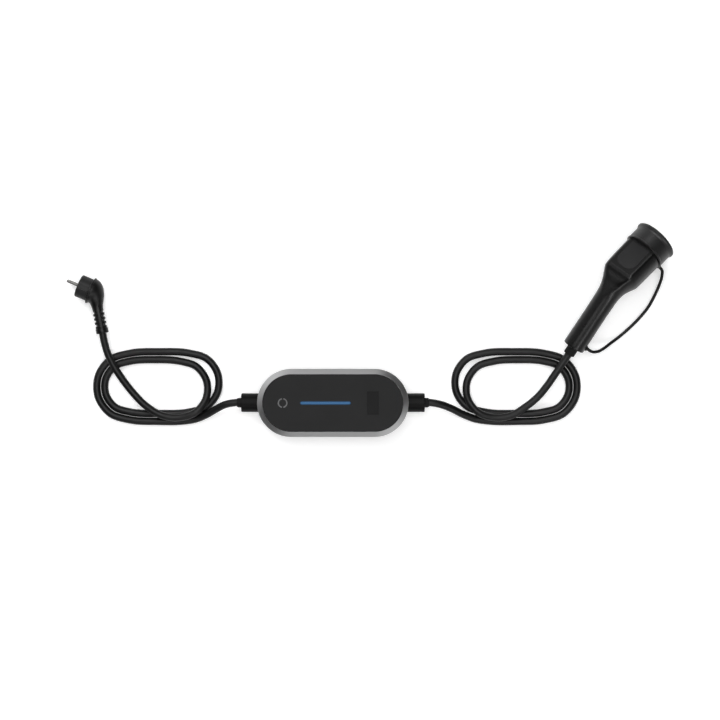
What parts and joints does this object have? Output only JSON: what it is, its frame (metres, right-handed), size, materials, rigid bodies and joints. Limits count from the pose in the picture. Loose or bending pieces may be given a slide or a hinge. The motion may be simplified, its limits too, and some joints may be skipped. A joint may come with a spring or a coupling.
{
  "type": "portable electric vehicle charger",
  "caption": "Portable electric vehicle charger: rounded control box with a metal bezel, light bar and display, coiled cables, an earthed wall plug and a capped vehicle connector.",
  "frame": {"origin": "middle of the control box's back face, on the surface it lies on", "axes": "+X along the box towards the vehicle connector's end, +Z out of the front panel"},
  "size_m": [0.9633, 0.3392, 0.0813],
  "materials": {
    "shell_plastic": "fine satin texture",
    "bezel_metal": "satin",
    "panel_plastic": "matte",
    "light_blue": "diffusing",
    "icon_grey": "printed",
    "display_glass": "smoked",
    "board_green": "solder mask",
    "relay_blue": "moulded",
    "component_dark": "moulded",
    "transformer_yellow": "taped",
    "terminal_green": "moulded",
    "copper_foil": "foil",
    "wire_jacket": "insulated",
    "seal_rubber": "matte",
    "screw_steel": "plated",
    "gland_plastic": "satin",
    "cable_jacket": "satin",
    "plug_rubber": "satin",
    "insert_plastic": "moulded",
    "pin_nickel": "nickel plated",
    "contact_silver": "silver plated",
    "connector_plastic": "satin",
    "plate_grey": "matte",
    "cap_rubber": "satin",
    "tether_rubber": "satin"
  },
  "bodies": {
    "charger": {"rear_shell": "shell_plastic", "bezel_frame": "bezel_metal", "front_panel": "panel_plastic", "light_bar": "light_blue", "touch_ring": "icon_grey", "display_window": "display_glass", "display_module": "component_dark", "panel_board": "board_green", "touch_electrode": "copper_foil", "leds": "light_blue", "main_board": "board_green", "line_relay": "relay_blue", "neutral_relay": "relay_blue", "residual_current_sensor": "component_dark", "supply_transformer": "transformer_yellow", "supply_capacitor": "component_dark", "surge_varistor": "relay_blue", "terminal_block_in": "terminal_green", "terminal_block_out": "terminal_green", "inlet_conductors": "wire_jacket", "outlet_conductors": "wire_jacket", "housing_gasket": "seal_rubber", "cover_screws": "screw_steel", "gland_plug_side": "gland_plastic", "gland_connector_side": "gland_plastic", "gland_nuts": "gland_plastic", "gland_seals": "seal_rubber", "plug_cable": "cable_jacket", "plug_body": "plug_rubber", "plug_insert": "insert_plastic", "plug_pins": "pin_nickel", "earth_clips": "pin_nickel", "earth_sleeve": "pin_nickel", "connector_cable": "cable_jacket", "connector_upper_shell": "connector_plastic", "connector_lower_shell": "connector_plastic", "badge_plate": "plate_grey", "connector_nose": "insert_plastic", "contact_carrier": "insert_plastic", "power_contacts": "contact_silver", "signal_contacts": "contact_silver", "connector_wires": "wire_jacket", "strain_relief_bush": "seal_rubber", "tether_anchor": "tether_rubber", "tether": "tether_rubber"},
    "cap": {"cap": "cap_rubber"}
  },
  "joints": [
    {"name": "cap_pull", "type": "slide", "parent": "charger", "child": "cap", "axis": [0.6917, 0.6917, -0.2079], "range_m": [0, 0.034], "deforming": ["tether"]}
  ]
}
